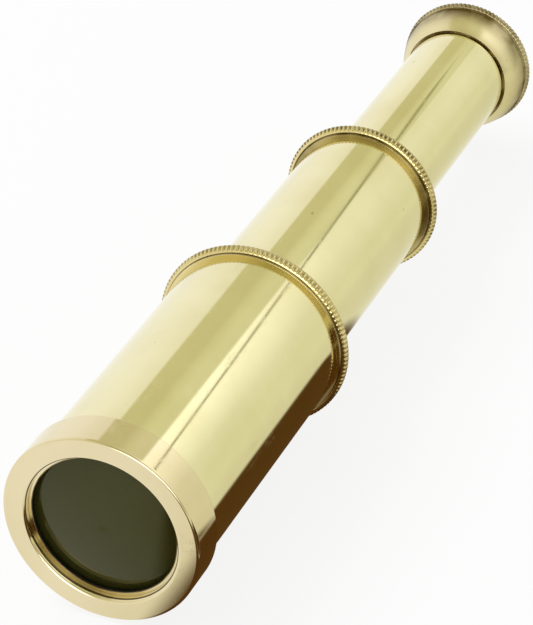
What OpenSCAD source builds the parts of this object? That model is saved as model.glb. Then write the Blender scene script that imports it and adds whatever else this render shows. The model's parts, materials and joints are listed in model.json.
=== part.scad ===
// Two-draw brass pocket spyglass, fully pulled out.
// Every turned piece is drawn in a half section: the first coordinate is the
// radius, the second the station, which is the distance behind the bezel's
// front face. on_axis() then lays the section's axis along +Y, so the objective
// looks along -Y. The origin is on the optical axis, halfway along the bare
// barrel. All sizes are in millimetres.

/* [Objective bezel] */
// Height of the bezel's outside above the barrel
bezel_rise = 1; // [0.8:0.1:3]
// Length of the bezel along the axis
bezel_len = 6.2; // [5.5:0.1:9]
// Thickness of the bezel's front lip
bezel_lip = 1.3; // [1:0.1:2]
// How far the front lip reaches in past the lenses' edge
bezel_reach = 0.3; // [0.1:0.05:0.6]
// Rounding of the opening's front edge
opening_round = 0.7; // [0.3:0.1:0.9]
// Rounding of the bezel's front outside edge
bezel_round = 0.45; // [0.2:0.05:0.7]

/* [Objective cell and lenses] */
// Wall of the cell around the lenses
cell_wall = 1.36; // [1.1:0.02:1.6]
// How far the cell's front lip, which shows inside the opening, reaches in past the lenses' edge
cell_reach = 0.85; // [0.7:0.05:1.5]
// Thickness of the flange that the bezel clamps
cell_flange = 0.9; // [0.7:0.1:1.5]
// Thickness of the lip's inner edge
cell_lip_edge = 0.4; // [0.3:0.05:0.6]
// Depth of the lens seat behind the cell's front face
lens_seat_depth = 1; // [0.8:0.1:1.4]
// Width of the lens seat
lens_seat_w = 0.3; // [0.2:0.05:0.5]
// How far the cell reaches past its retaining ring
cell_over = 0.1; // [0.05:0.05:0.4]
// Curve of the crown lens's front face
crown_front = 52; // [45:1:80]
// Curve of the cemented faces
cement_curve = 31; // [29:1:45]
// Curve of the flint lens's rear face
flint_back = 120; // [100:5:200]
// Thickness of the crown lens at its edge
crown_edge = 0.7; // [0.5:0.05:0.9]
// Thickness of the flint lens at its middle
flint_middle = 1; // [0.8:0.05:1.1]
// Thickness of the retaining ring behind the lenses
lens_ring = 0.7; // [0.5:0.05:0.8]
// Width of the retaining ring's wall
lens_ring_wall = 1; // [0.8:0.1:1.4]
// Width of the two spanner slots in screwed rings
spanner_slot = 0.8; // [0.6:0.1:1.2]

/* [Tubes] */
// Outside radius of the eye draw
eye_r = 8.75; // [8.4:0.05:9]
// Wall of the eye draw
eye_wall = 0.6; // [0.5:0.05:0.8]
// Room around the eye draw inside the middle draw
mid_room = 2.15; // [1.9:0.05:2.6]
// Wall of the middle draw
mid_wall = 0.6; // [0.5:0.05:0.7]
// Room around the middle draw inside the barrel
barrel_room = 1.8; // [1.6:0.05:2.4]
// Wall of the barrel tube
barrel_wall = 0.7; // [0.5:0.05:0.9]
// Length of the barrel tube
barrel_len = 50.65; // [30:0.05:80]
// Length of the stop ring at the front end of each draw
stop_len = 1.5; // [1:0.1:2.5]
// Chamfer on a stop ring's front edge
stop_ease = 0.25; // [0.1:0.05:0.4]

/* [Collars] */
// Height of the collar's flat front face above its tube
face_rise = 0.55; // [0.4:0.05:0.9]
// Chamfer on the face's outer edge
face_ease = 0.05; // [0.05:0.05:0.1]
// Length of the plain land behind the face
face_land = 0.1; // [0.1:0.05:0.5]
// Width of the groove between land and bead
groove_w = 0.25; // [0.1:0.05:0.4]
// Depth of that groove
groove_depth = 0.3; // [0.15:0.05:0.4]
// Radius of the half-round bead's section
bead_r = 0.85; // [0.75:0.05:1]
// Height of the main collar's bead above the barrel
main_rise = 1.45; // [1.3:0.05:2]
// Height of the middle collar's bead above the middle draw
mid_rise = 1.55; // [1.3:0.05:2]
// Length of the main collar's screwed spigot
main_spigot = 1.6; // [1.2:0.1:3]
// Length of the middle collar's screwed spigot
mid_spigot = 2.3; // [1.2:0.1:3]
// Thickness of the rear lip that hides the sleeve
collar_lip = 0.7; // [0.5:0.05:1]

/* [Spring sleeves] */
// Wall of each sleeve
sleeve_wall = 0.55; // [0.4:0.05:0.6]
// Number of slits in each sleeve
sleeve_slits = 6; // [4:1:8]
// Width of one slit
slit_w = 0.4; // [0.3:0.05:0.6]
// Plain length left behind the slits
sleeve_root = 1.2; // [0.8:0.1:1.6]

/* [Knurl] */
// Pitch of the knurl around a crown
knurl_pitch = 0.78; // [0.7:0.01:1.2]
// Depth of one notch below the crown
knurl_depth = 0.35; // [0.2:0.05:0.4]
// Width of one notch at the crown
knurl_gap = 0.42; // [0.3:0.02:0.46]

/* [Erector] */
// Length of the erector tube
erector_len = 22; // [18:0.5:26]
// Wall of the inner tubes
inner_wall = 0.6; // [0.5:0.05:0.8]
// Wall of the erector cells around their lenses
erector_wall = 1.29; // [1:0.01:2]
// Thickness of an erector lens at its middle
erector_lens_t = 2.2; // [1.8:0.1:2.6]
// Curve of an erector lens's domed face
erector_curve = 16; // [14:1:30]
// Length of each erector cell
erector_cell = 3.4; // [3.2:0.1:4.5]
// Radius of the hole in the erector stop
erector_hole = 1.5; // [1:0.1:3]
// Distance from the draw's front end to the erector tube
erector_inset = 2.2; // [0.5:0.1:5]

/* [Eyepiece] */
// Length of the eyepiece tube
eyepiece_len = 21.8; // [20:0.1:24]
// Wall of the field lens's cell around its lens
field_wall = 1.29; // [1:0.01:2]
// Thickness of the field lens at its middle
field_lens_t = 2.2; // [1.8:0.1:2.6]
// Curve of the field lens's domed face
field_curve = 14; // [13:1:30]
// Length of the field lens's cell
field_cell_len = 3.6; // [3.2:0.1:4.5]
// Distance from the eyepiece tube's front end to the field stop
field_stop_at = 9; // [6:0.5:12]
// Radius of the hole in the field stop
field_hole = 4.5; // [3:0.1:5.5]
// Wall of the eye lens's cell around its lens
eye_cell_wall = 1.89; // [1.3:0.01:2.4]
// Thickness of the eye lens at its middle
eye_lens_t = 2.4; // [2:0.1:2.8]
// Curve of the eye lens's domed face
eye_curve = 12; // [11:1:25]
// Length of the eye lens's cell
eye_cell_len = 4.2; // [3.6:0.1:5]
// Thickness of a stop disc
stop_disc = 0.8; // [0.5:0.1:1.2]
// Width of the lip that holds a small lens in its cell
cell_lip = 0.6; // [0.4:0.1:0.9]
// Thickness of that lip
cell_lip_t = 0.5; // [0.4:0.1:0.8]
// Height of the spun edge that holds a lens from its domed side
spun_edge = 0.2; // [0.1:0.05:0.3]

/* [Eyecup] */
// Length from the eyecup's front edge to the end of its bore
cup_bore = 3.2; // [2.6:0.1:3.6]
// Radius of the dome's section
dome_curve = 6.6; // [6.3:0.1:8.5]
// Height of the dome above the eye draw
dome_rise = 2.35; // [2.2:0.05:2.6]
// Length of the dome along the axis
dome_len = 4.7; // [4:0.1:5]
// Height of the eyecup's bead above the eye draw
cup_rise = 2.85; // [2.7:0.05:3.3]
// Radius of the half-round bead's section on the eyecup
cup_bead_r = 0.65; // [0.55:0.05:0.8]
// Radius of the cove in front of the bead
cove_r = 0.6; // [0.3:0.05:0.7]
// Width of the relief around the draw at the front edge
relief_w = 0.15; // [0.1:0.05:0.3]
// Depth of that relief
relief_depth = 0.3; // [0.2:0.1:1.2]
// Width of the rim around the concave dish that the eye looks into
dish_rim = 1.4; // [1.2:0.1:2.2]
// Depth of the dish at its middle
dish_depth = 2.2; // [1.6:0.1:2.3]
// Radius of the eye hole
eye_hole = 3.5; // [2.5:0.1:4.5]
// Flare of the eye hole's rear edge
hole_flare = 0.4; // [0.2:0.1:0.6]

/* [Fits] */
// Radial clearance of a draw in its spring sleeve
run_gap = 0.05; // [0.02:0.01:0.1]
// Radial clearance of a stop ring in its tube
slide_gap = 0.1; // [0.05:0.01:0.15]
// Radial clearance of screwed and soldered seats
seat_gap = 0.02; // [0.01:0.01:0.04]
// Axial clearance between stacked pieces
stack_gap = 0.02; // [0.01:0.01:0.04]
// Clearance left at a stop when a draw is fully out
stop_gap = 0.1; // [0.05:0.05:0.3]
// Clearance left between rims when a draw is fully in
closed_gap = 0.5; // [0.4:0.1:1]
// Clearance left ahead of a draw's front end when it is fully in
front_gap = 0.3; // [0.2:0.1:1]

/* [Hidden] */

brass = [0.88, 0.83, 0.60];
bezel_brass = [0.89, 0.82, 0.62];
collar_brass = [0.78, 0.67, 0.36];
cup_brass = [0.80, 0.74, 0.52];
blackened = [0.13, 0.12, 0.10];
crown_glass = [0.42, 0.44, 0.34, 0.6];
flint_glass = [0.30, 0.31, 0.24, 0.6];

turn_fn = 180;
arc_fn = 96;
lens_fn = 720;
overcut = 0.2;

// Radii, from the eye draw outwards
mid_bore = eye_r + mid_room;
mid_r = mid_bore + mid_wall;
barrel_bore = mid_r + barrel_room;
barrel_r = barrel_bore + barrel_wall;
bezel_r = barrel_r + bezel_rise;
main_crown = barrel_r + main_rise;
mid_crown = mid_r + mid_rise;
cup_crown = eye_r + cup_rise;
dome_top = eye_r + dome_rise;
dish_r = cup_crown - dish_rim;

// Radii inside the draws
eye_bore = eye_r - eye_wall;
inner_r = eye_bore - seat_gap;
inner_bore = inner_r - inner_wall;
insert_r = inner_bore - seat_gap;
erector_lens_r = insert_r - erector_wall - seat_gap;
field_lens_r = insert_r - field_wall - seat_gap;
eye_lens_r = insert_r - eye_cell_wall - seat_gap;

// Radii of the objective
lens_r = barrel_bore - cell_wall - 2 * seat_gap;
lens_bore = lens_r + seat_gap;
lens_seat_r = lens_r - lens_seat_w;
ring_hole = lens_r - lens_ring_wall;
opening_r = lens_r - bezel_reach;
cell_lip_r = lens_r - cell_reach;

// Stations along the axis, from the objective to the eye
cell_front = bezel_lip;
tube_front = cell_front + cell_flange;
main_seat = tube_front + barrel_len;
collar_len = face_land + groove_w + 2 * bead_r;
main_rear = main_seat + collar_len;

// The origin lies halfway along the bare barrel
grip_middle = (bezel_len + main_seat) / 2;

// Objective lenses, stacked from the seat in the cell
function sag(curve, r) = curve - sqrt(curve * curve - r * r);
seat_station = cell_front + lens_seat_depth;
crown_apex = seat_station + stack_gap - sag(crown_front, lens_seat_r);
crown_middle = sag(crown_front, lens_r) + crown_edge + sag(cement_curve, lens_r);
flint_apex = crown_apex + crown_middle + stack_gap;
flint_rear = flint_apex + flint_middle;
ring_front = flint_rear - sag(flint_back, ring_hole) + stack_gap;
cell_rear = ring_front + lens_ring + cell_over;

// Middle draw. Its stop ring lies just ahead of the collar's spigot, and it
// slides in until its front end is close behind the lens cell.
mid_front = main_seat - main_spigot - stop_gap - stop_len;
mid_travel = mid_front - cell_rear - front_gap;
mid_seat = main_rear + mid_travel + closed_gap;
mid_rear = mid_seat + collar_len;

// Eye draw. It slides in until its front end is close behind the middle draw's.
eye_front = mid_seat - mid_spigot - stop_gap - stop_len;
eye_travel = eye_front - mid_front - front_gap;
cup_front = mid_rear + eye_travel + closed_gap;
eye_end = cup_front + cup_bore;

// Erector and eyepiece stations
erector_front = eye_front + erector_inset;
erector_rear = erector_front + erector_len;
eyepiece_rear = eye_end - stack_gap;
eyepiece_front = eyepiece_rear - eyepiece_len;

// Eyecup
cup_bead = cup_front + dome_len + cove_r + cup_bead_r;
cup_rear = cup_bead + cup_bead_r;
cup_body_r = cup_crown - cup_bead_r;
dome_centre_r = dome_top - dome_curve;
dish_curve = (dish_r * dish_r + dish_depth * dish_depth) / (2 * dish_depth);

function notch_count(crown) = round(2 * PI * crown / knurl_pitch);

// Lays the axis along +Y with the origin at the middle of the barrel
module on_axis() {
  translate([0, -grip_middle, 0])
    rotate([-90, 0, 0])
      children();
}

// Turns a half section into a solid
module turned() {
  rotate_extrude(convexity = 6, $fn = turn_fn)
    children();
}

// Half section of a plain ring from one station to another
module ring_section(inside, outside, from, to) {
  translate([inside, from])
    square([outside - inside, to - from]);
}

// Cutter that leaves a quarter round of the given radius on a corner.
// side and end are 1 or -1 and point from the round's centre to the corner.
module corner_cutter(radius, station, rounding, side, end) {
  translate([radius, station])
    difference() {
      translate([side > 0 ? 0 : -rounding - overcut, end > 0 ? 0 : -rounding - overcut])
        square(rounding + overcut);
      circle(rounding, $fn = arc_fn);
    }
}

// Straight notches around a bead, all parallel to the axis
module knurl_notches(crown, bead, station) {
  count = notch_count(crown);
  root = crown - knurl_depth;
  reach = crown + overcut;
  for (i = [0 : count - 1])
    rotate([0, 0, i * 360 / count])
      translate([0, 0, station - bead])
        linear_extrude(2 * bead)
          polygon([
            [root, -knurl_gap / 4],
            [reach, -knurl_gap / 2],
            [reach, knurl_gap / 2],
            [root, knurl_gap / 4]
          ]);
}

// Two spanner slots across the rear face of a ring
module spanner_slots(outside, rear, depth) {
  for (side = [0, 180])
    rotate([0, 0, side])
      translate([0, -spanner_slot / 2, rear - depth])
        cube([outside + overcut, spanner_slot, depth + overcut]);
}

// Knurled collar: screwed spigot, flat front face, groove and half-round bead
module collar(tube_r, tube_bore, draw_r, crown, spigot, seat) {
  face_r = tube_r + face_rise;
  land_end = seat + face_land;
  bead_start = land_end + groove_w;
  bead_middle = bead_start + bead_r;
  rear = bead_start + 2 * bead_r;
  pocket = sleeve_outside(draw_r) + seat_gap;
  lip = draw_r + 2 * run_gap;
  on_axis()
    difference() {
      turned() {
        ring_section(pocket, tube_bore - seat_gap, seat - spigot, seat);
        polygon([
          [pocket, seat],
          [face_r - face_ease, seat],
          [face_r, seat + face_ease],
          [face_r, land_end],
          [face_r - groove_depth, land_end],
          [face_r - groove_depth, bead_start],
          [pocket, bead_start]
        ]);
        ring_section(pocket, crown - bead_r, bead_start, rear);
        ring_section(lip, crown - bead_r, rear - collar_lip, rear);
        translate([crown - bead_r, bead_middle])
          circle(bead_r, $fn = arc_fn);
      }
      knurl_notches(crown, bead_r, bead_middle);
    }
}

function sleeve_outside(draw_r) = draw_r + run_gap + sleeve_wall;

// Thin sleeve with lengthwise slits, whose tongues grip the draw
module spring_sleeve(draw_r, front, rear) {
  outside = sleeve_outside(draw_r);
  on_axis()
    difference() {
      turned()
        ring_section(draw_r + run_gap, outside, front, rear);
      for (i = [0 : sleeve_slits - 1])
        rotate([0, 0, i * 360 / sleeve_slits])
          translate([0, -slit_w / 2, front - overcut])
            cube([outside + overcut, slit_w, rear - front - sleeve_root + overcut]);
    }
}

// Ring on a draw's front end that meets the collar's spigot at full reach
module stop_ring(draw_r, tube_bore, front) {
  outside = tube_bore - slide_gap;
  on_axis()
    turned()
      polygon([
        [draw_r + seat_gap, front],
        [outside - stop_ease, front],
        [outside, front + stop_ease],
        [outside, front + stop_len],
        [draw_r + seat_gap, front + stop_len]
      ]);
}

// Plain tube on the axis
module tube(outside, inside, from, to) {
  on_axis()
    turned()
      ring_section(inside, outside, from, to);
}

// Station of a small lens's flat face, which rests on the lip of its cell.
// The lip is at the eye's end of the cell when way is 1, at the other when -1.
function flat_station(from, to, way) =
  way > 0 ? to - cell_lip_t - stack_gap : from + cell_lip_t + stack_gap;

// Lens with one flat face, its dome pointing away from its cell's lip
module small_lens(lens, middle, curve, from, to, way) {
  flat = flat_station(from, to, way);
  color(crown_glass)
    on_axis()
      turned()
        intersection() {
          translate([0, way > 0 ? flat - middle - overcut : flat])
            square([lens, middle + overcut]);
          translate([0, flat - way * (middle - curve)])
            circle(curve, $fn = lens_fn);
        }
}

// Corners run the other way round when way is -1, so that they always run alike
function in_order(way, corners) =
  way > 0 ? corners : [for (i = [len(corners) - 1 : -1 : 0]) corners[i]];

// Turned cell of a small lens: a lip on the flat side, a spun edge on the dome
module lens_cell(lens, middle, curve, from, to, way) {
  flat = flat_station(from, to, way);
  bore = lens + seat_gap;
  lip_from = way > 0 ? to - cell_lip_t : from;
  edge = middle - sag(curve, lens) + stack_gap;
  spun_tip = middle - sag(curve, bore - spun_edge) + stack_gap;
  color(blackened)
    on_axis()
      turned() {
        ring_section(bore, insert_r, from, to);
        ring_section(lens - cell_lip, insert_r, lip_from, lip_from + cell_lip_t);
        polygon(in_order(way, [
          [bore + spun_edge, flat - way * edge],
          [bore, flat - way * edge],
          [bore - spun_edge, flat - way * spun_tip],
          [bore, flat - way * (spun_tip + spun_edge)],
          [bore + spun_edge, flat - way * (spun_tip + spun_edge)]
        ]));
      }
}

module objective_bezel() {
  color(bezel_brass)
    on_axis()
      turned()
        difference() {
          ring_section(opening_r, bezel_r, 0, bezel_len);
          ring_section(0, barrel_r + seat_gap, bezel_lip, bezel_len + overcut);
          corner_cutter(opening_r + opening_round, opening_round, opening_round, -1, -1);
          corner_cutter(bezel_r - bezel_round, bezel_round, bezel_round, 1, -1);
        }
}

module objective_cell() {
  flange_r = barrel_r - seat_gap;
  color(brass)
    on_axis()
      turned()
        polygon([
          [cell_lip_r, cell_front],
          [flange_r, cell_front],
          [flange_r, tube_front],
          [barrel_bore - seat_gap, tube_front],
          [barrel_bore - seat_gap, cell_rear],
          [lens_bore, cell_rear],
          [lens_bore, seat_station],
          [lens_seat_r, seat_station],
          [cell_lip_r, cell_front + cell_lip_edge]
        ]);
}

module crown_lens() {
  color(crown_glass)
    on_axis()
      turned()
        intersection() {
          translate([0, crown_apex - overcut])
            square([lens_r, crown_middle + 2 * overcut]);
          translate([0, crown_apex + crown_front])
            circle(crown_front, $fn = lens_fn);
          translate([0, crown_apex + crown_middle - cement_curve])
            circle(cement_curve, $fn = lens_fn);
        }
}

module flint_lens() {
  hollow_edge = flint_apex - sag(cement_curve, lens_r);
  color(flint_glass)
    on_axis()
      turned()
        difference() {
          intersection() {
            translate([0, hollow_edge - overcut])
              square([lens_r, flint_rear - hollow_edge + 2 * overcut]);
            translate([0, flint_rear - flint_back])
              circle(flint_back, $fn = lens_fn);
          }
          translate([0, flint_apex - cement_curve])
            circle(cement_curve, $fn = lens_fn);
        }
}

module lens_retaining_ring() {
  color(blackened)
    on_axis()
      difference() {
        turned()
          ring_section(ring_hole, lens_r, ring_front, ring_front + lens_ring);
        spanner_slots(lens_r, ring_front + lens_ring, lens_ring / 2);
      }
}

module main_tube() {
  color(brass)
    tube(barrel_r, barrel_bore, tube_front, main_seat);
}

module main_collar() {
  color(collar_brass)
    collar(barrel_r, barrel_bore, mid_r, main_crown, main_spigot, main_seat);
}

module main_spring_sleeve() {
  color(brass)
    spring_sleeve(mid_r, main_seat - main_spigot, main_rear - collar_lip - stack_gap);
}

module mid_stop_ring() {
  color(brass)
    stop_ring(mid_r, barrel_bore, mid_front);
}

module mid_tube() {
  color(brass)
    tube(mid_r, mid_bore, mid_front, mid_seat);
}

module mid_collar() {
  color(collar_brass)
    collar(mid_r, mid_bore, eye_r, mid_crown, mid_spigot, mid_seat);
}

module mid_spring_sleeve() {
  color(brass)
    spring_sleeve(eye_r, mid_seat - mid_spigot, mid_rear - collar_lip - stack_gap);
}

module eye_stop_ring() {
  color(brass)
    stop_ring(eye_r, mid_bore, eye_front);
}

module eye_tube() {
  color(brass)
    tube(eye_r, eye_bore, eye_front, eye_end);
}

module erector_tube() {
  color(brass)
    tube(inner_r, inner_bore, erector_front, erector_rear);
}

module erector_front_cell() {
  lens_cell(erector_lens_r, erector_lens_t, erector_curve,
    erector_front, erector_front + erector_cell, -1);
}

module erector_front_lens() {
  small_lens(erector_lens_r, erector_lens_t, erector_curve,
    erector_front, erector_front + erector_cell, -1);
}

module erector_stop() {
  middle = (erector_front + erector_rear) / 2;
  color(blackened)
    tube(insert_r, erector_hole, middle - stop_disc / 2, middle + stop_disc / 2);
}

module erector_rear_cell() {
  lens_cell(erector_lens_r, erector_lens_t, erector_curve,
    erector_rear - erector_cell, erector_rear, 1);
}

module erector_rear_lens() {
  small_lens(erector_lens_r, erector_lens_t, erector_curve,
    erector_rear - erector_cell, erector_rear, 1);
}

module eyepiece_tube() {
  color(brass)
    tube(inner_r, inner_bore, eyepiece_front, eyepiece_rear);
}

module field_cell() {
  lens_cell(field_lens_r, field_lens_t, field_curve,
    eyepiece_front, eyepiece_front + field_cell_len, 1);
}

module field_lens() {
  small_lens(field_lens_r, field_lens_t, field_curve,
    eyepiece_front, eyepiece_front + field_cell_len, 1);
}

module field_stop() {
  station = eyepiece_front + field_stop_at;
  color(blackened)
    tube(insert_r, field_hole, station, station + stop_disc);
}

module eye_cell() {
  lens_cell(eye_lens_r, eye_lens_t, eye_curve,
    eyepiece_rear - eye_cell_len, eyepiece_rear, 1);
}

module eye_lens() {
  small_lens(eye_lens_r, eye_lens_t, eye_curve,
    eyepiece_rear - eye_cell_len, eyepiece_rear, 1);
}

module eyecup() {
  bore = eye_r + seat_gap;
  color(cup_brass)
    on_axis()
      difference() {
        turned()
          difference() {
            union() {
              intersection() {
                ring_section(0, dome_top, cup_front, cup_front + dome_len);
                translate([dome_centre_r, cup_front + dome_len])
                  circle(dome_curve, $fn = arc_fn);
              }
              ring_section(0, dome_centre_r, cup_front, cup_rear);
              ring_section(0, cup_body_r, cup_front + dome_len, cup_rear);
              translate([cup_body_r, cup_bead])
                circle(cup_bead_r, $fn = arc_fn);
            }
            ring_section(0, bore, cup_front - overcut, eye_end);
            ring_section(0, bore + relief_w, cup_front - overcut, cup_front + relief_depth);
            translate([cup_body_r + cove_r, cup_front + dome_len + cove_r / 2])
              circle(cove_r, $fn = arc_fn);
            translate([0, cup_rear - dish_depth + dish_curve])
              circle(dish_curve, $fn = lens_fn);
            ring_section(0, eye_hole, eye_end - overcut, cup_rear);
            polygon([
              [0, cup_rear - dish_depth - hole_flare],
              [eye_hole, cup_rear - dish_depth - hole_flare],
              [eye_hole + 2 * hole_flare, cup_rear - dish_depth + hole_flare],
              [0, cup_rear - dish_depth + hole_flare]
            ]);
          }
        knurl_notches(cup_crown, cup_bead_r, cup_bead);
      }
}

objective_bezel();
objective_cell();
crown_lens();
flint_lens();
lens_retaining_ring();
main_tube();
main_collar();
main_spring_sleeve();
mid_stop_ring();
mid_tube();
mid_collar();
mid_spring_sleeve();
eye_stop_ring();
eye_tube();
erector_tube();
erector_front_cell();
erector_front_lens();
erector_stop();
erector_rear_cell();
erector_rear_lens();
eyepiece_tube();
field_cell();
field_lens();
field_stop();
eye_cell();
eye_lens();
eyecup();
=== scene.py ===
"""Looks of a two-draw brass pocket spyglass, pulled out and lying on a pale floor.

The frame's +Y runs along the optical axis from the objective to the eye, and +Z is up.
Sizes are in millimetres and become metres in the meshes. The camera and the lamp are
placed in metres.
"""

import json
import math

import bpy
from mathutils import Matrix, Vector


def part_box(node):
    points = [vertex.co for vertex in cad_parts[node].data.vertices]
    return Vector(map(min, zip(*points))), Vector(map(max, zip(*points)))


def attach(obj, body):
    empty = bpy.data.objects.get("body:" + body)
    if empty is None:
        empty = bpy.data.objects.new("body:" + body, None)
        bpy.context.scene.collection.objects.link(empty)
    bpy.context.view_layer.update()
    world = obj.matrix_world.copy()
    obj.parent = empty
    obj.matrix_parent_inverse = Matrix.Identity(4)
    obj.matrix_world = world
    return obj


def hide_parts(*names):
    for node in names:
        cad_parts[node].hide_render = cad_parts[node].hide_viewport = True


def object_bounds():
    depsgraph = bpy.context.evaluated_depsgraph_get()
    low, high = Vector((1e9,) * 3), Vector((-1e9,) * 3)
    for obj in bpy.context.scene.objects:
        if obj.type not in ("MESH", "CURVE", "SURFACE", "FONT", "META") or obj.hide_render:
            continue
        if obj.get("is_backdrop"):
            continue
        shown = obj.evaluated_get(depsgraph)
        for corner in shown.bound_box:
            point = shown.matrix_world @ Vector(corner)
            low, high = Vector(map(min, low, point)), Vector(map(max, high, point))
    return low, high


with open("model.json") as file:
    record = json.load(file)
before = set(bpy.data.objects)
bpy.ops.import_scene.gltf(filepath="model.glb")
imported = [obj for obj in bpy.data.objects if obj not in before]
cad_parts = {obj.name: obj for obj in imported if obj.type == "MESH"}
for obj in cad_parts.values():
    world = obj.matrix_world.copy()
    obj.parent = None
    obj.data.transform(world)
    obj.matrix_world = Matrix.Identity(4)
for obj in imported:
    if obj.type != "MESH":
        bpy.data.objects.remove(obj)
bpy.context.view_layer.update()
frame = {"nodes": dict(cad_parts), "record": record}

MM = 0.001
CAD = frame["nodes"]

# Fineness of the turned pieces
TURN_STEPS = 288
ARC_STEP = math.radians(9)
# A round takes up at most this share of each side of its corner
ROUND_SHARE = 0.49
# A face is a bore's where its normal points to the axis with more than this cosine
BORE_FACING = 0.7

# Sizes that the frame's boxes don't show, piece by piece. A round, a break and a corner
# are radii.
SEAT_GAP = 0.02
RUN_GAP = 0.05

OPENING_R = 11.6
OPENING_ROUND = 1.1
BEZEL_ROUND = 0.45
BEZEL_REAR_ROUND = 0.15
BEZEL_BORE_BREAK = 0.04
BEZEL_LIP = 1.3

CELL_LIP_R = 11.05
CELL_LIP_LAND = 0.4
CELL_LIP_BREAK = 0.03
# Width and fade of the shade painted on the lip's front, next to its inner edge
CELL_SHADE_W = 0.12
CELL_SHADE_FADE = 0.04
CELL_FLANGE = 0.9
CELL_BREAK = 0.05
LENS_SEAT_DEPTH = 1
LENS_SEAT_W = 0.3

BARREL_WALL = 0.7
DRAW_WALL = 0.6
TUBE_FRONT_BREAK = 0.08
TUBE_REAR_BREAK = 0.03
TUBE_BORE_BREAK = 0.05

FACE_RISE = 0.55
FACE_LAND = 0.1
FACE_BREAK = 0.05
LAND_BREAK = 0.03
GROOVE_W = 0.25
GROOVE_DEPTH = 0.45
GROOVE_CORNER = 0.02
BEAD_R = 0.85
BEAD_CORE_BREAK = 0.02
COLLAR_LIP = 0.7
COLLAR_LIP_BREAK = 0.12
SLEEVE_WALL = 0.55

KNURL_PITCH = 0.78
KNURL_DEPTH = 0.35
NOTCH_TOP = 0.2
NOTCH_FOOT = 0.13
WELD = 0.002
# Angles around the bead in degrees: its half round from the front foot to the rear foot,
# and a last one inwards, which closes the section
BEAD_TURNS = (-90, -76, -60, -36, -13, 13, 36, 54, 68, 90, 180)

DOME_CURVE = 6.6
DOME_TOP = 11.1
DOME_LEN = 4.7
DOME_END_TURN = math.radians(-2.5)
COVE_R = 0.6
COVE_START_TURN = math.radians(240)
COVE_END_TURN = math.radians(130)
CUP_BEAD_R = 0.65
CUP_RIM_W = 0.12
CUP_RIM_BREAK = 0.1
RELIEF_W = 0.3
RELIEF_DEPTH = 0.45
RELIEF_CORNER = 0.02
RELIEF_BREAK = 0.03
CUP_BORE = 3.2
DISH_R = 10.2
DISH_DEPTH = 2.2
EYE_HOLE = 3.5
HOLE_FLARE = 0.4
HOLE_BREAK = 0.1

# How dark the painted shade lies, from 0 for bright metal to 1
BEZEL_SEAM_SHADE = 0.6
BEZEL_SHOULDER_SHADE = 0.5
CELL_LIP_SHADE = 1
MAIN_SHADE = 0.6
MAIN_FACE_SHADE = 0.0
MID_SHADE = 1.0
# Painted shade on the mid collar's front face
MID_FACE_SHADE = 0.6
CUP_SHADE = 0.95
EYE_HOLE_DARKENING = 0.3
EYE_BORE_DARKENING = 1
# Shares of a piece's painted shade: on the land before its groove, on a notch's upper edges, on
# the eyecup's front edge and as an even darkening over the eyecup's bead
LAND_SHARE = 0.5
NOTCH_EDGE_SHARE = 0.9
CUP_EDGE_SHARE = 0.7
CUP_EVEN_DARKENING_SHARE = 0.6
# Up to this angle the bead's front foot is painted full of shade
SHADED_FOOT_TURN = math.radians(-80)
# Shares of the dome's length: where its painted shade starts, and over how much it gets full
DOME_SHADE_START = 0.25
DOME_SHADE_REACH = 0.6

# Colours of the finishes
TUBE_BRASS = (0.84, 0.78, 0.475, 1)
BEZEL_BRASS = (0.80, 0.70, 0.45, 1)
COLLAR_BRASS = (0.80, 0.68, 0.34, 1)
CUP_BRASS = (0.80, 0.71, 0.43, 1)
INNER_BRASS = (0.62, 0.48, 0.20, 1)
# Brown of tarnished pits, also painted as shade in seams, gaps, grooves and notches
TARNISH_AND_SHADE = (0.125, 0.075, 0.010, 1)
BLACKENING = (0.018, 0.016, 0.013, 1)
CROWN_GLASS = (0.064, 0.062, 0.012, 1)
FLINT_GLASS = (0.30, 0.31, 0.22, 1)
CLEAR_GLASS = (0.93, 0.95, 0.85, 1)
COATING = (1.0, 0.98, 0.55, 1)
UNCOATED = (1, 1, 1, 1)
CROWN_INDEX = 1.52
FLINT_INDEX = 1.62


def span(name):
    """Front end, rear end and radius of a CAD node, in millimetres."""
    low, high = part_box(name)
    return low.y / MM, high.y / MM, high.x / MM


# Turned pieces

def arc(centre, radius, start, end):
    """Points of an arc in a half section. Angles are from +radius towards +Y."""
    steps = max(2, math.ceil(abs(end - start) / ARC_STEP))
    turn = [start + (end - start) * i / steps for i in range(steps + 1)]
    return [(centre[0] + radius * math.cos(a), centre[1] + radius * math.sin(a)) for a in turn]


def fillet(before, corner, after, radius):
    """Points of the round that replaces a corner."""
    here = Vector(corner)
    back = (Vector(before) - here).normalized()
    on = (Vector(after) - here).normalized()
    opening = back.angle(on)
    reach = min(
        radius / math.tan(opening / 2),
        ROUND_SHARE * (Vector(before) - here).length,
        ROUND_SHARE * (Vector(after) - here).length,
    )
    radius = reach * math.tan(opening / 2)
    centre = here + (back + on).normalized() * radius / math.sin(opening / 2)
    first, last = here + back * reach - centre, here + on * reach - centre
    start = math.atan2(first.y, first.x)
    swing = (math.atan2(last.y, last.x) - start + math.pi) % math.tau - math.pi
    return arc(centre, radius, start, start + swing)


def rounded(corners):
    """Half section as points (radius, station, darkening), where darkening is painted shade.

    A corner is (radius, station, rounding, darkening), and its last two can be left out.
    """
    section = []
    for i, (radius, station, *extra) in enumerate(corners):
        rounding = extra[0] if extra else 0
        darkening = extra[1] if len(extra) > 1 else 0
        if rounding:
            before, after = corners[i - 1][:2], corners[(i + 1) % len(corners)][:2]
            section += [(r, y, darkening) for r, y in fillet(before, (radius, station), after, rounding)]
        else:
            section.append((radius, station, darkening))
    return section


def outward(section):
    """The section in the order in which turned() makes faces that point out of the metal."""
    area = sum(a[0] * b[1] - b[0] * a[1] for a, b in zip(section, section[1:] + section[:1]))
    return section if area > 0 else section[::-1]


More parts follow.
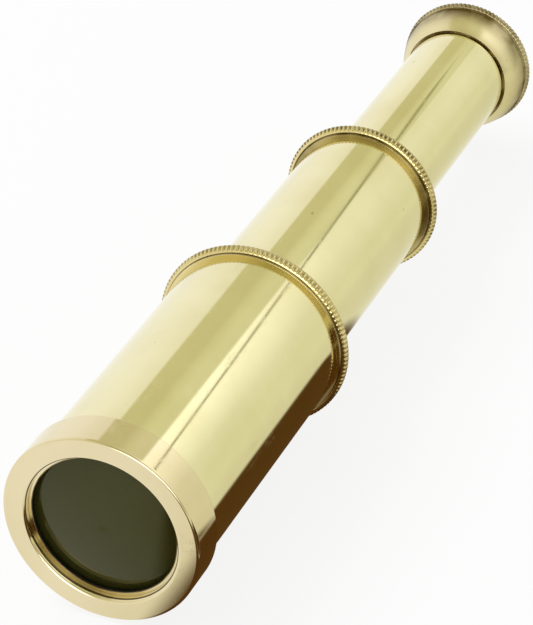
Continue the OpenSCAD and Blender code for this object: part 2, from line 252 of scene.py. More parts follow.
def turned(corners):
    """Points, faces, normals and painted shade of a ring turned from a half section."""
    section = outward(rounded(corners))
    count = len(section)
    points, normals, marks = [], [], []
    for k in range(TURN_STEPS):
        angle = math.tau * k / TURN_STEPS
        cos, sin = math.cos(angle), math.sin(angle)
        for i, (radius, station, darkening) in enumerate(section):
            before, after = section[i - 1], section[(i + 1) % count]
            slope = Vector((after[1] - before[1], before[0] - after[0])).normalized()
            points.append(Vector((radius * cos, station, radius * sin)) * MM)
            normals.append(Vector((slope.x * cos, slope.y, slope.x * sin)))
            marks.append(darkening)
    faces = []
    for k in range(TURN_STEPS):
        here, on = k * count, (k + 1) % TURN_STEPS * count
        for i in range(count):
            j = (i + 1) % count
            faces.append((here + i, here + j, on + j, on + i))
    return points, faces, normals, marks


def piece_from(name, shells, finish, bore_finish=None):
    """One mesh object from shells. Walls that face the axis can take a finish of their own."""
    points, faces, normals, marks = [], [], [], []
    for shell_points, shell_faces, shell_normals, shell_marks in shells:
        start = len(points)
        points += shell_points
        normals += shell_normals
        marks += shell_marks
        faces += [tuple(start + i for i in face) for face in shell_faces]
    mesh = bpy.data.meshes.new(name)
    mesh.from_pydata(points, [], faces)
    mesh.materials.append(finish)
    if bore_finish:
        mesh.materials.append(bore_finish)
    for face in mesh.polygons:
        face.use_smooth = True
        away = Vector((face.center.x, 0, face.center.z)).normalized()
        if bore_finish and face.normal.dot(away) < -BORE_FACING:
            face.material_index = 1
    mesh.attributes.new("darkening", "FLOAT", "POINT").data.foreach_set("value", marks)
    mesh.normals_split_custom_set_from_vertices([tuple(n) for n in normals])
    piece = bpy.data.objects.new(name, mesh)
    bpy.context.scene.collection.objects.link(piece)
    return piece


# Knurled beads

def knurl_tooth(crown, bead_r, station, teeth, shade, even_darkening):
    """One pitch of a knurled half-round bead: a straight notch between two half lands.

    Painted shade fills the notch and the bead's front foot, and a thinner even darkening lies on the
    rest.
    """
    half = math.pi * crown / teeth
    # Across the notch: place, share of the notch's depth and share of the painted shade
    columns = [
        (-half, 0, 0),
        (-NOTCH_TOP, 0, NOTCH_EDGE_SHARE),
        (-NOTCH_FOOT, 1, 1),
        (NOTCH_FOOT, 1, 1),
        (NOTCH_TOP, 0, NOTCH_EDGE_SHARE),
        (half, 0, 0),
    ]
    root = crown - KNURL_DEPTH
    section = [math.radians(a) for a in BEAD_TURNS]
    points, marks = [], []
    for across, depth, share in columns:
        angle = across / crown
        for turn in section:
            bead = crown - bead_r + bead_r * math.cos(turn)
            rise = max(0.0, bead - root)
            radius = bead - rise * depth
            y = station + bead_r * math.sin(turn)
            points.append(Vector((radius * math.cos(angle), y, radius * math.sin(angle))) * MM)
            # Painted shade in the notch and on the bead's front foot
            shaded = 1.0 if turn < SHADED_FOOT_TURN else share * min(1.0, rise / KNURL_DEPTH)
            marks.append(even_darkening + (shade - even_darkening) * shaded)
    rows = len(section)
    faces = []
    for c in range(len(columns) - 1):
        for i in range(rows):
            j = (i + 1) % rows
            faces.append((c * rows + i, c * rows + j, (c + 1) * rows + j, (c + 1) * rows + i))
    mesh = bpy.data.meshes.new("knurl_tooth")
    mesh.from_pydata(points, [], faces)
    for face in mesh.polygons:
        face.use_smooth = True
    mesh.attributes.new("darkening", "FLOAT", "POINT").data.foreach_set("value", marks)
    return mesh


def knurl_tree():
    """Geometry Nodes: teeth repeated around the Y axis and welded into one ring.

    The first input, one tooth, is the mesh of the object that carries the modifier.
    """
    tree = bpy.data.node_groups.new("knurled_ring", "GeometryNodeTree")
    face = tree.interface
    face.new_socket("Tooth", in_out="INPUT", socket_type="NodeSocketGeometry")
    face.new_socket("Teeth", in_out="INPUT", socket_type="NodeSocketInt")
    face.new_socket("Weld distance", in_out="INPUT", socket_type="NodeSocketFloat")
    face.new_socket("Finish", in_out="INPUT", socket_type="NodeSocketMaterial")
    face.new_socket("Ring", in_out="OUTPUT", socket_type="NodeSocketGeometry")
    sizes = tree.nodes.new("NodeGroupInput").outputs
    pitch = node(tree, "ShaderNodeMath", {0: math.tau, 1: sizes["Teeth"]}, operation="DIVIDE")
    index = node(tree, "GeometryNodeInputIndex")
    turn = node(tree, "ShaderNodeMath", {0: pitch.outputs[0], 1: index.outputs[0]}, operation="MULTIPLY")
    rotation = node(tree, "ShaderNodeCombineXYZ", {"Y": turn.outputs[0]})
    places = node(tree, "GeometryNodePoints", {"Count": sizes["Teeth"]})
    placed = node(tree, "GeometryNodeInstanceOnPoints", {
        "Points": places.outputs[0], "Instance": sizes["Tooth"], "Rotation": rotation.outputs[0]})
    solid = node(tree, "GeometryNodeRealizeInstances", {"Geometry": placed.outputs[0]})
    welded = node(tree, "GeometryNodeMergeByDistance", {
        "Geometry": solid.outputs[0], "Distance": sizes["Weld distance"]})
    finished = node(tree, "GeometryNodeSetMaterial", {
        "Geometry": welded.outputs[0], "Material": sizes["Finish"]})
    out = tree.nodes.new("NodeGroupOutput")
    tree.links.new(finished.outputs[0], out.inputs["Ring"])
    return tree


def knurled_ring(crown, bead_r, station, shade, tree, finish, even_darkening=0.0):
    """A knurled bead as a shell for piece_from."""
    teeth = round(math.tau * crown / KNURL_PITCH)
    tooth = knurl_tooth(crown, bead_r, station, teeth, shade, even_darkening)
    worker = bpy.data.objects.new("knurl_worker", tooth)
    bpy.context.scene.collection.objects.link(worker)
    maker = worker.modifiers.new("knurl", "NODES")
    maker.node_group = tree
    sizes = {"Teeth": teeth, "Weld distance": WELD * MM, "Finish": finish}
    for socket in tree.interface.items_tree:
        if socket.name in sizes:
            maker[socket.identifier] = sizes[socket.name]
    graph = bpy.context.evaluated_depsgraph_get()
    ring = bpy.data.meshes.new_from_object(worker.evaluated_get(graph))
    points = [v.co.copy() for v in ring.vertices]
    normals = [v.vector.copy() for v in ring.vertex_normals]
    faces = [tuple(face.vertices) for face in ring.polygons]
    marks = [mark.value for mark in ring.attributes["darkening"].data]
    bpy.data.objects.remove(worker)
    bpy.data.meshes.remove(ring)
    return points, faces, normals, marks


# Node helpers

def node(tree, kind, inputs=None, **settings):
    """Adds a node. An input's value is a socket to link or a plain value."""
    added = tree.nodes.new(kind)
    for key, value in settings.items():
        setattr(added, key, value)
    for key, value in (inputs or {}).items():
        if isinstance(value, bpy.types.NodeSocket):
            tree.links.new(value, added.inputs[key])
        else:
            added.inputs[key].default_value = value
    return added


def ramp(tree, factor, stops):
    """Colour or grey ramp through (position, value) stops."""
    added = node(tree, "ShaderNodeValToRGB", {"Fac": factor})
    band = added.color_ramp
    while len(band.elements) < len(stops):
        band.elements.new(1)
    for element, (position, value) in zip(band.elements, stops):
        element.position = position
        element.color = (*value, 1) if hasattr(value, "__len__") else (value, value, value, 1)
    return added.outputs["Color"]


def blend(tree, factor, one, other):
    """Mixes two colours."""
    mixed = node(tree, "ShaderNodeMix", {0: factor, 6: one, 7: other}, data_type="RGBA")
    return mixed.outputs[2]


def sum_of(tree, value, times, plus=0.0):
    """value * times + plus."""
    added = node(tree, "ShaderNodeMath", {0: value, 1: times, 2: plus}, operation="MULTIPLY_ADD")
    return added.outputs[0]


def product(tree, one, other):
    """one * other."""
    return node(tree, "ShaderNodeMath", {0: one, 1: other}, operation="MULTIPLY").outputs[0]


def greater(tree, one, other):
    """The greater of two values."""
    return node(tree, "ShaderNodeMath", {0: one, 1: other}, operation="MAXIMUM").outputs[0]


def step(tree, value, low, high):
    """Smooth step from 0 at low to 1 at high. It falls where low is the larger."""
    added = node(tree, "ShaderNodeMapRange", {"Value": value, "From Min": low, "From Max": high},
                 interpolation_type="SMOOTHSTEP")
    return added.outputs[0]


def grain(tree, place, scale, stretch=(1, 1, 1), detail=3.0, rough=0.5, distortion=0.0):
    """Noise on the piece's own coordinates, with about scale features to the metre.

    A small stretch draws it out along that axis.
    """
    laid = node(tree, "ShaderNodeMapping", {"Vector": place, "Scale": stretch})
    noise = node(tree, "ShaderNodeTexNoise", {
        "Vector": laid.outputs[0], "Scale": scale, "Detail": detail,
        "Roughness": rough, "Distortion": distortion})
    return noise.outputs["Fac"]


# Finishes

# How the noises are stretched into lines along the axis, rings around it and scratches
ALONG_AXIS = (1, 0.012, 1)
AROUND_AXIS = (0.02, 1, 0.02)
SCRATCHED = (1, 0.06, 1)

# What clouding leaves of the red, green and blue of polished brass
CLOUDED_SHARES = (0.86, 0.82, 0.68)
# How dark a pit is, where the full tarnish and shade colour is 1
PIT_DARKNESS = 0.55
# What the polishing lines, the clouding and full painted shade add to the roughness
LINE_ROUGHNESS = 0.03
CLOUD_ROUGHNESS = 0.05
DARKENING_ROUGHNESS = 0.27
# Height of the polishing lines, where a scratch is 1 deep
LINE_HEIGHT = 0.25
# What dust and turned rings do to a plain finish
DUST_LIGHTENING = 1.6
RING_ROUGHNESS = 0.15


def new_finish(name):
    """An empty material: itself, its tree, its shader and the piece's coordinates."""
    finish = bpy.data.materials.new(name)
    finish.use_nodes = True
    tree = finish.node_tree
    shader = tree.nodes["Principled BSDF"]
    place = tree.nodes.new("ShaderNodeTexCoord").outputs["Object"]
    return finish, tree, shader, place


def polished_brass(name, colour, roughness=0.04, mottle=0.35, lengthwise=True):
    """Polished brass with faint polishing lines, clouding, pits, scratches and painted shade."""
    finish, tree, shader, place = new_finish(name)
    cloud = grain(tree, place, 75, detail=4, rough=0.55)
    lines = grain(tree, place, 2600, ALONG_AXIS if lengthwise else AROUND_AXIS, detail=2)
    specks = grain(tree, place, 900, detail=1)
    patches = grain(tree, place, 210, detail=2)
    scratches = grain(tree, place, 420, SCRATCHED, detail=5, rough=0.8, distortion=0.6)

    # Colour: clouding first, then the painted shade in uneven patches, and rare pits
    duller = tuple(c * k for c, k in zip(colour[:3], CLOUDED_SHARES)) + (1,)
    clouded = ramp(tree, cloud, [(0.42, 0), (0.68, mottle)])
    body = blend(tree, clouded, colour, duller)
    # Painted shade from the darkening mark, and the even darkening on the eyecup's bead
    darkening_amount = node(tree, "ShaderNodeAttribute", attribute_name="darkening").outputs["Fac"]
    patchy_darkening = product(tree, darkening_amount, ramp(tree, patches, [(0.4, 0.6), (0.58, 1.0)]))
    pits = ramp(tree, specks, [(0.76, 0), (0.80, 1)])
    pitted = product(tree, pits, ramp(tree, patches, [(0.56, 0), (0.64, 1)]))
    dark = greater(tree, patchy_darkening, product(tree, pitted, PIT_DARKNESS))
    tree.links.new(blend(tree, dark, body, TARNISH_AND_SHADE), shader.inputs["Base Color"])

    # Roughness: more on the lines, in the clouds and most of all where shade is painted
    lined = sum_of(tree, lines, LINE_ROUGHNESS, roughness)
    dulled = sum_of(tree, clouded, CLOUD_ROUGHNESS, lined)
    tree.links.new(sum_of(tree, patchy_darkening, DARKENING_ROUGHNESS, dulled), shader.inputs["Roughness"])

    # Relief: the lines, and hairline scratches in some of the patches
    scored = ramp(tree, scratches, [(0.495, 0), (0.5, 1), (0.505, 0)])
    rare = product(tree, scored, ramp(tree, patches, [(0.5, 0), (0.62, 1)]))
    height = sum_of(tree, lines, LINE_HEIGHT, sum_of(tree, rare, -1.0))
    bump = node(tree, "ShaderNodeBump", {"Strength": 0.25, "Distance": 0.00001, "Height": height})
    tree.links.new(bump.outputs[0], shader.inputs["Normal"])
    shader.inputs["Metallic"].default_value = 1
    return finish


def plain_finish(name, colour, metallic, roughness):
    """Turned metal, plain or blackened: fine rings around the axis and a little dust."""
    finish, tree, shader, place = new_finish(name)
    rings = grain(tree, place, 2200, AROUND_AXIS, detail=2)
    dust = grain(tree, place, 260, detail=3)
    lighter = tuple(min(1, c * DUST_LIGHTENING) for c in colour[:3]) + (1,)
    dusty = blend(tree, ramp(tree, dust, [(0.4, 0), (0.75, 0.6)]), colour, lighter)
    tree.links.new(dusty, shader.inputs["Base Color"])
    uneven = ramp(tree, rings, [(0.3, roughness), (0.7, min(1, roughness + RING_ROUGHNESS))])
    tree.links.new(uneven, shader.inputs["Roughness"])
    bump = node(tree, "ShaderNodeBump", {"Strength": 0.4, "Distance": 0.00002, "Height": rings})
    tree.links.new(bump.outputs[0], shader.inputs["Normal"])
    shader.inputs["Metallic"].default_value = metallic
    return finish


def lens_glass(name, tint, index, coating, gloss=0.5, clearness=0.9):
    """Polished glass with a breath of dust. The coating tints what it reflects."""
    finish, tree, shader, place = new_finish(name)
    dust = grain(tree, place, 340, detail=6, rough=0.7)
    tree.links.new(ramp(tree, dust, [(0.45, 0.01), (0.8, 0.12)]), shader.inputs["Roughness"])
    shader.inputs["Base Color"].default_value = tint
    shader.inputs["Transmission Weight"].default_value = clearness
    shader.inputs["IOR"].default_value = index
    shader.inputs["Specular IOR Level"].default_value = gloss
    shader.inputs["Specular Tint"].default_value = coating
    return finish


# Camera

PHOTO_HEIGHT = 625
FOCAL_PIXELS = 2934
SENSOR = 36
NEAR_CLIP = 0.01
FAR_CLIP = 20
CAMERA_AT = Vector((0.14745, -0.319625, 0.24165))
LOOK = Vector((-0.3285, 0.7778, -0.5358))


def place_camera():
    """The camera that was fitted to the photograph."""
    camera = bpy.data.objects.new("camera", bpy.data.cameras.new("camera"))
    camera.data.sensor_fit = "VERTICAL"
    camera.data.sensor_height = SENSOR
    camera.data.lens = FOCAL_PIXELS * SENSOR / PHOTO_HEIGHT
    camera.data.clip_start = NEAR_CLIP
    camera.data.clip_end = FAR_CLIP
    camera.location = CAMERA_AT
    camera.rotation_euler = LOOK.to_track_quat("-Z", "Y").to_euler()
    bpy.context.scene.collection.objects.link(camera)
    bpy.context.scene.camera = camera


# Light

WHITE = (1, 1, 1, 1)
EVEN_LIGHT = (0.62, 0.62, 0.62, 1)

# What the brass reflects from beyond the eye, by the angle about the spyglass's axis from
# +X over the top to -X: two long softboxes with a warm gap between them
BEYOND = [
    (-180, (1.0, 1.0, 1.0)),
    (-90, (0.95, 0.95, 0.93)),
    (-20, (0.79, 0.79, 0.62)),
    (0, (0.83, 0.84, 0.67)),
    (18, (0.885, 0.89, 0.76)),
    (42, (0.93, 0.935, 0.83)),
    (67.5, (0.91, 0.91, 0.78)),
    (70, (0.78, 0.78, 0.58)),
    (83, (0.79, 0.79, 0.57)),
    (91, (0.75, 0.74, 0.51)),
    (99, (0.67, 0.65, 0.425)),
    (121, (0.68, 0.66, 0.43)),
    (123.5, (0.95, 0.94, 0.88)),
    (150, (1.02, 1.02, 1.02)),
]
# The right softbox is brighter nearer overhead, where the barrel and the bezel reflect it:
# how much by angle, and the direction's y at which the glare starts and is full
GLARE = [(20, 0), (42, 0.36), (56, 0.65), (67.5, 0.8), (70, 0)]
GLARE_Y = (0.82, 0.75)
GLARE_LIGHT = (1.5, 1.5, 1.5, 1)
# A dark bar across the right softbox, in directions scaled to y = 1: its height at x = 0
# and its rise over its run. Then its soft edge, and the direction's x and y at which it
# starts and is full.
BAR_HEIGHT = 0.645
BAR_SLOPE = 0.17
BAR_EDGE = (0.013, 0.005)
BAR_X = (0.03, 0.07)
BAR_Y = (0, 0.3)
BAR = (0.30, 0.28, 0.15, 1)
# The room around the camera, before the objective, is dimmer
ROOM = [
    (-180, (0.92, 0.90, 0.80)),
    (-60, (0.45, 0.42, 0.28)),
    (0, (0.45, 0.41, 0.26)),
    (21, (0.58, 0.54, 0.36)),
    (41, (0.66, 0.62, 0.42)),
    (61, (0.68, 0.65, 0.45)),
    (81, (0.57, 0.55, 0.36)),
    (101, (0.50, 0.48, 0.30)),
    (121, (0.70, 0.67, 0.50)),
    (141, (0.88, 0.84, 0.66)),
    (165, (0.90, 0.88, 0.72)),
]
# The direction's y at which the room gives way to the softboxes
ROOM_END = (-0.6, -0.15)
# A window before the objective and a lamp overhead to the right: the way to each, the
# cosines at its edge and where it is full, and its light
LAMPS = [
    ((0.15, -1, 0.05), 0.89, 0.95, (3.0, 3.1, 3.3, 1)),
    ((0.51, 0.14, 0.84), 0.94, 0.995, (1.3, 1.3, 1.2, 1)),
]

KEY_AT = (-0.55, -0.1, 0.75)
KEY_AIM = (0, 0.03, 0)
KEY_SIZE = 0.5
KEY_POWER = 4.2


def around(tree, turn, stops):
    """Ramp by the angle about the axis, in degrees."""
    return ramp(tree, turn, [((angle + 180) / 360, value) for angle, value in stops])


def mirror_ray(tree):
    """1 for the rays that metal and glass send out, and the light path's outputs."""
    ray = tree.nodes.new("ShaderNodeLightPath").outputs
    return greater(tree, ray["Is Glossy Ray"], ray["Is Transmission Ray"]), ray


def light_world():
    """White to the camera, softboxes and room to metal and glass, even light to the rest."""
    world = bpy.data.worlds.new("studio")
    bpy.context.scene.world = world
    world.use_nodes = True
    tree = world.node_tree
    tree.nodes.clear()
    out = tree.nodes.new("ShaderNodeOutputWorld")
    way = tree.nodes.new("ShaderNodeTexCoord").outputs["Generated"]
    parts = node(tree, "ShaderNodeSeparateXYZ", {"Vector": way}).outputs
    angle = node(tree, "ShaderNodeMath", {0: parts["Z"], 1: parts["X"]}, operation="ARCTAN2")
    turn = node(tree, "ShaderNodeMapRange", {
        "Value": angle.outputs[0], "From Min": -math.pi, "From Max": math.pi}).outputs[0]

    glare = product(tree, around(tree, turn, GLARE), step(tree, parts["Y"], *GLARE_Y))
    boxes = blend(tree, glare, around(tree, turn, BEYOND), GLARE_LIGHT)
    rise = sum_of(tree, parts["X"], -BAR_SLOPE, parts["Z"])
    above_bar = sum_of(tree, parts["Y"], -BAR_HEIGHT, rise)
    off_bar = node(tree, "ShaderNodeMath", {0: above_bar}, operation="ABSOLUTE").outputs[0]
    on_bar = product(tree, step(tree, off_bar, *BAR_EDGE), step(tree, parts["X"], *BAR_X))
    barred = blend(tree, on_bar, boxes, BAR)

    reflected = blend(tree, step(tree, parts["Y"], *ROOM_END), around(tree, turn, ROOM), boxes)
    reflected = blend(tree, step(tree, parts["Y"], *BAR_Y), reflected, barred)
    for place, edge, full, light in LAMPS:
        toward = Vector(place).normalized()
        near = node(tree, "ShaderNodeVectorMath", {0: way, 1: toward}, operation="DOT_PRODUCT")
        reflected = blend(tree, step(tree, near.outputs["Value"], edge, full), reflected, light)

    mirrored, ray = mirror_ray(tree)
    even = blend(tree, mirrored, EVEN_LIGHT, reflected)
    seen = blend(tree, ray["Is Camera Ray"], even, WHITE)
    light = node(tree, "ShaderNodeBackground", {"Color": seen, "Strength": 1.0})
    tree.links.new(light.outputs[0], out.inputs["Surface"])


def hang_lamp():
    """Large soft lamp above and to the left, which gives the floor its shadow."""
    lamp = bpy.data.objects.new("key_lamp", bpy.data.lights.new("key_lamp", "AREA"))
    lamp.data.size = KEY_SIZE
    lamp.data.energy = KEY_POWER
    lamp.location = KEY_AT
    aim = Vector(KEY_AIM) - lamp.location
    lamp.rotation_euler = aim.to_track_quat("-Z", "Y").to_euler()
    lamp.visible_glossy = False
    bpy.context.scene.collection.objects.link(lamp)


# Floor

FLOOR_HALF = 1500
FLOOR_GREY = (0.92, 0.92, 0.92, 1)
# Share of plain white, which takes no shadow, in the floor that the camera sees
FLOOR_WHITENESS = 0.85

# What metal and glass show of the floor: paper with painted shade that grows warmer to the right
# and paler again farther out, and a painted dark brown shadow to the right of the barrel
PAPER = (1.0, 1.0, 1.0, 1)
SHADED_PAPER = (0.77, 0.76, 0.60, 1)
FAR_PAPER = (0.84, 0.84, 0.67, 1)
PAINTED_SHADOW = (0.095, 0.044, 0.010, 1)
# Soft edges on the floor, each from its start to where it is full: x of the shaded and the far
# paper, x and y of the painted shadow's strip along the barrel, and x and both ends in y of the
# painted shadow farther to the right
SHADE_X = (-12, 20)
FAR_X = (25, 90)
STRIP_X = (4, 9)
STRIP_Y = (58, 50)
CORNER_X = (31, 38)
CORNER_REAR_Y = (12, 0)
CORNER_FRONT_Y = (-100, -70)


def lay_floor(level):
    """Pale floor under the collar that the spyglass lies on."""
    mesh = bpy.data.meshes.new("floor")
    half = FLOOR_HALF * MM
    corners = [(-half, -half), (half, -half), (half, half), (-half, half)]
    mesh.from_pydata([(x, y, level) for x, y in corners], [], [(0, 1, 2, 3)])
    floor = bpy.data.objects.new("floor", mesh)
    bpy.context.scene.collection.objects.link(floor)
    finish = bpy.data.materials.new("floor_white")
    finish.use_nodes = True
    tree = finish.node_tree
    tree.nodes.clear()
    out = tree.nodes.new("ShaderNodeOutputMaterial")
    place = tree.nodes.new("ShaderNodeTexCoord").outputs["Object"]
    parts = node(tree, "ShaderNodeSeparateXYZ", {"Vector": place}).outputs

    def past(axis, edge):
        """Smooth step over an edge in millimetres."""
        return step(tree, parts[axis], edge[0] * MM, edge[1] * MM)

    # Painted shadow and shade on the floor right of the barrel, which only metal and glass see
    beside = past("X", CORNER_X)
    strip = product(tree, past("X", STRIP_X), past("Y", STRIP_Y))
    near_strip = product(tree, strip, step(tree, beside, 1, 0))
    corner = product(tree, product(tree, beside, past("Y", CORNER_REAR_Y)), past("Y", CORNER_FRONT_Y))
    painted_shadow_area = greater(tree, near_strip, corner)
    paper = blend(tree, past("X", SHADE_X), PAPER, SHADED_PAPER)
    paper = blend(tree, past("X", FAR_X), paper, FAR_PAPER)

    mirrored, ray = mirror_ray(tree)
    shown = blend(tree, mirrored, WHITE, blend(tree, painted_shadow_area, paper, PAINTED_SHADOW))
    share = greater(tree, mirrored, product(tree, ray["Is Camera Ray"], FLOOR_WHITENESS))
    matt = node(tree, "ShaderNodeBsdfDiffuse", {"Color": FLOOR_GREY})
    glow = node(tree, "ShaderNodeEmission", {"Color": shown, "Strength": 1.0})
    mixed = node(tree, "ShaderNodeMixShader", {0: share, 1: matt.outputs[0], 2: glow.outputs[0]})
    tree.links.new(mixed.outputs[0], out.inputs["Surface"])
    mesh.materials.append(finish)
    floor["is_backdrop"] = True


# The spyglass

def make_bezel(finish):
    """The plain bezel, open in front, with a lip that holds the lens cell."""
    front, rear, radius = span("objective_bezel")
    bore = span("main_tube")[2] + SEAT_GAP
    return piece_from("objective_bezel_turned", [turned([
        (OPENING_R, front, OPENING_ROUND),
        (radius, front, BEZEL_ROUND),
        (radius, rear, BEZEL_REAR_ROUND),
        # Painted shade at the seam with the tube and in the shoulder behind the lip
        (bore, rear, BEZEL_BORE_BREAK, BEZEL_SEAM_SHADE),
        (bore, front + BEZEL_LIP),
        (OPENING_R, front + BEZEL_LIP, BEZEL_BORE_BREAK, BEZEL_SHOULDER_SHADE),
    ])], finish)


def make_cell(finish, bore_finish):
    """The lens cell. Its lip shows as a thin bright ring around the black inner wall."""
    front, rear, flange = span("objective_cell")
    lens_bore = span("crown_lens")[2] + SEAT_GAP
    body = span("main_tube")[2] - BARREL_WALL - SEAT_GAP
    seat = front + LENS_SEAT_DEPTH
    shade_end = CELL_LIP_R + CELL_SHADE_W
    return piece_from("objective_cell_turned", [turned([
        # Painted shade on the lip's inner edge and front, a dark ring around the lens
        (CELL_LIP_R, front, CELL_LIP_BREAK, CELL_LIP_SHADE),
        (shade_end, front, 0, CELL_LIP_SHADE),
        (shade_end + CELL_SHADE_FADE, front),
        (flange, front, CELL_BREAK),
        (flange, front + CELL_FLANGE, CELL_BREAK),
        (body, front + CELL_FLANGE, CELL_BREAK),
        (body, rear, CELL_BREAK),
        (lens_bore, rear, CELL_LIP_BREAK),
        (lens_bore, seat),
        (lens_bore - SEAT_GAP - LENS_SEAT_W, seat),
        (CELL_LIP_R, front + CELL_LIP_LAND, 0, CELL_LIP_SHADE),
    ])], finish, bore_finish)


def make_tube(name, wall, finish, bore_finish):
    """A drawn tube, blackened inside."""
    front, rear, radius = span(name)
    return piece_from(name + "_drawn", [turned([
        (radius - wall, front, TUBE_BORE_BREAK),
        (radius, front, TUBE_FRONT_BREAK),
        (radius, rear, TUBE_REAR_BREAK),
        (radius - wall, rear, TUBE_BORE_BREAK),
    ])], finish, bore_finish)


def make_collar(name, tube, wall, draw, shade, face_shade, tree, finish):
    """A collar: flat front face, groove and knurled bead, screwed into its tube by a spigot."""
    front, rear, crown = span(name)
    seat, tube_r = span(tube)[1:]
    draw_r = span(draw)[2]
    spigot_r = tube_r - wall - SEAT_GAP
    pocket = draw_r + RUN_GAP + SLEEVE_WALL + SEAT_GAP
    lip = draw_r + 2 * RUN_GAP
    face_r = tube_r + FACE_RISE
    groove_r = face_r - GROOVE_DEPTH
    land_end = seat + FACE_LAND
    bead_start = land_end + GROOVE_W
    core = crown - BEAD_R
    corners = [
        (pocket, front),
        (spigot_r, front),
        (spigot_r, seat),
        # Painted shade on the front face, the land, the groove and the bead's front
        (tube_r, seat, 0, face_shade),
        (face_r, seat, FACE_BREAK, face_shade),
        (face_r, land_end, LAND_BREAK, LAND_SHARE * shade),
        (groove_r, land_end, GROOVE_CORNER, shade),
        (groove_r, bead_start, GROOVE_CORNER, shade),
        (core, bead_start, 0, shade),
        (core, rear, BEAD_CORE_BREAK),
        (lip, rear, COLLAR_LIP_BREAK),
        (lip, rear - COLLAR_LIP),
        (pocket, rear - COLLAR_LIP),
    ]
    bead = knurled_ring(crown, BEAD_R, rear - BEAD_R, shade, tree, finish)
    return piece_from(name + "_turned", [turned(corners), bead], finish)


def dome_shading(station, front, rear):
    """How much painted shade the dome takes at a station: bright at its front, brown near its bead."""
    along = (station - front) / (rear - front)
    return min(1.0, max(0.0, along - DOME_SHADE_START) / DOME_SHADE_REACH)


def make_eyecup(shade, tree, finish):
    """The eyecup: a dome that ends in a cove and a knurled bead, with a dished eye side."""
    front, rear, crown = span("eyecup")
    bore = span("eye_tube")[2] + SEAT_GAP
    core = crown - CUP_BEAD_R
    dome_end = front + DOME_LEN
    dome_start_turn = -math.asin(DOME_LEN / DOME_CURVE)
    dome = arc((DOME_TOP - DOME_CURVE, dome_end), DOME_CURVE, dome_start_turn, DOME_END_TURN)
    cove = arc((core + COVE_R, dome_end + COVE_R / 2), COVE_R, COVE_START_TURN, COVE_END_TURN)
    dish_curve = (DISH_R ** 2 + DISH_DEPTH ** 2) / (2 * DISH_DEPTH)
    flare_r = EYE_HOLE + 2 * HOLE_FLARE
    dish = arc((0, rear - DISH_DEPTH + dish_curve), dish_curve,
               -math.acos(DISH_R / dish_curve), -math.acos(flare_r / dish_curve))
    floor = front + CUP_BORE
    corners = [
        (bore, floor),
        # Painted shade in the relief's crevice at the tube and on its front edge
        (bore, front + RELIEF_DEPTH, RELIEF_CORNER, shade),
        (bore + RELIEF_W, front + RELIEF_DEPTH, RELIEF_CORNER, shade),
        (bore + RELIEF_W, front, RELIEF_BREAK, CUP_EDGE_SHARE * shade),
    ]
    # Painted shade on the dome, growing towards the bead, and in the cove under the bead
    corners += [(r, y, 0, shade * dome_shading(y, front, dome_end)) for r, y in dome]
    corners += [(r, y, 0, shade) for r, y in cove]
    corners += [
        (core, rear - CUP_BEAD_R, 0, shade),
        (core, rear, BEAD_CORE_BREAK),
        (DISH_R + CUP_RIM_W, rear, CUP_RIM_BREAK),
    ]
    corners += [(r, y) for r, y in dish[1:]]
    corners += [
        # Darker in the eye hole and its bore
        (EYE_HOLE, rear - DISH_DEPTH - HOLE_FLARE, HOLE_BREAK, EYE_HOLE_DARKENING),
        (EYE_HOLE, floor, 0, EYE_BORE_DARKENING),
    ]
    even_darkening = CUP_EVEN_DARKENING_SHARE * shade
    bead = knurled_ring(crown, CUP_BEAD_R, rear - CUP_BEAD_R, shade, tree, finish, even_darkening)
    return piece_from("eyecup_turned", [turned(corners), bead], finish)


place_camera()
light_world()
lay_floor(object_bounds()[0][2])
hang_lamp()

tube_brass = polished_brass("tube_brass", TUBE_BRASS)
bezel_brass = polished_brass("bezel_brass", BEZEL_BRASS, lengthwise=False)
collar_brass = polished_brass("collar_brass", COLLAR_BRASS, roughness=0.13, lengthwise=False)
cup_brass = polished_brass("eyecup_brass", CUP_BRASS, roughness=0.18, mottle=0.8, lengthwise=False)
inner_brass = plain_finish("inner_brass", INNER_BRASS, metallic=1, roughness=0.3)
black_bore = plain_finish("black_bore", BLACKENING, metallic=0, roughness=0.6)
blackened = plain_finish("blackened_brass", BLACKENING, metallic=0, roughness=0.45)
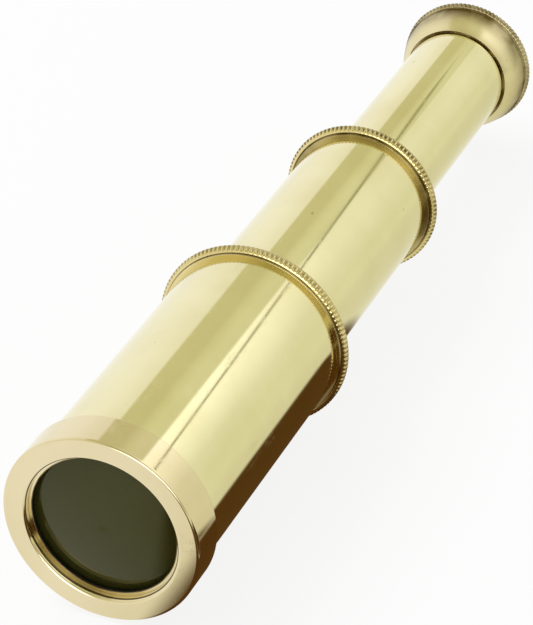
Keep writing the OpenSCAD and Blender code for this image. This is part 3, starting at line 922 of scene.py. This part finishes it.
# The crown lens is dark, because little light comes back from inside the tubes
objective_glass = lens_glass("crown_glass", CROWN_GLASS, CROWN_INDEX, COATING, gloss=0.28, clearness=0.5)
flint_glass = lens_glass("flint_glass", FLINT_GLASS, FLINT_INDEX, COATING, gloss=0.0)
clear_glass = lens_glass("clear_glass", CLEAR_GLASS, CROWN_INDEX, UNCOATED)

ring_tree = knurl_tree()
bezel = make_bezel(bezel_brass)
cell = make_cell(bezel_brass, black_bore)
main_tube = make_tube("main_tube", BARREL_WALL, tube_brass, black_bore)
# Painted shade in the collars' grooves and notches, and on the mid collar's front face
main_collar = make_collar("main_collar", "main_tube", BARREL_WALL, "mid_tube",
                          MAIN_SHADE, MAIN_FACE_SHADE, ring_tree, collar_brass)
mid_tube = make_tube("mid_tube", DRAW_WALL, tube_brass, black_bore)
mid_collar = make_collar("mid_collar", "mid_tube", DRAW_WALL, "eye_tube",
                         MID_SHADE, MID_FACE_SHADE, ring_tree, collar_brass)
eye_tube = make_tube("eye_tube", DRAW_WALL, tube_brass, black_bore)
eyecup = make_eyecup(CUP_SHADE, ring_tree, cup_brass)

# Each piece with the CAD node that it stands for, its body and its slot
made = [
    (bezel, "objective_bezel", "barrel", "bezel_brass"),
    (cell, "objective_cell", "barrel", "bezel_brass"),
    (main_tube, "main_tube", "barrel", "tube_brass"),
    (main_collar, "main_collar", "barrel", "collar_brass"),
    (mid_tube, "mid_tube", "mid_draw", "tube_brass"),
    (mid_collar, "mid_collar", "mid_draw", "collar_brass"),
    (eye_tube, "eye_tube", "eye_draw", "tube_brass"),
    (eyecup, "eyecup", "eye_draw", "eyecup_brass"),
]
for piece, replaced, body, slot_name in made:
    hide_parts(replaced)
    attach(piece, body)

# Finishes of the CAD nodes that stay in view or inside
finishes = {
    "inner_brass": inner_brass,
    "blackened_brass": blackened,
    "crown_glass": clear_glass,
    "flint_glass": flint_glass,
}
for entry in frame["record"]["subparts"]:
    if entry["material_slot"] in finishes:
        for slot in CAD[entry["node"]].material_slots:
            slot.material = finishes[entry["material_slot"]]
for slot in CAD["crown_lens"].material_slots:
    slot.material = objective_glass

bpy.context.scene.view_settings.view_transform = "Standard"
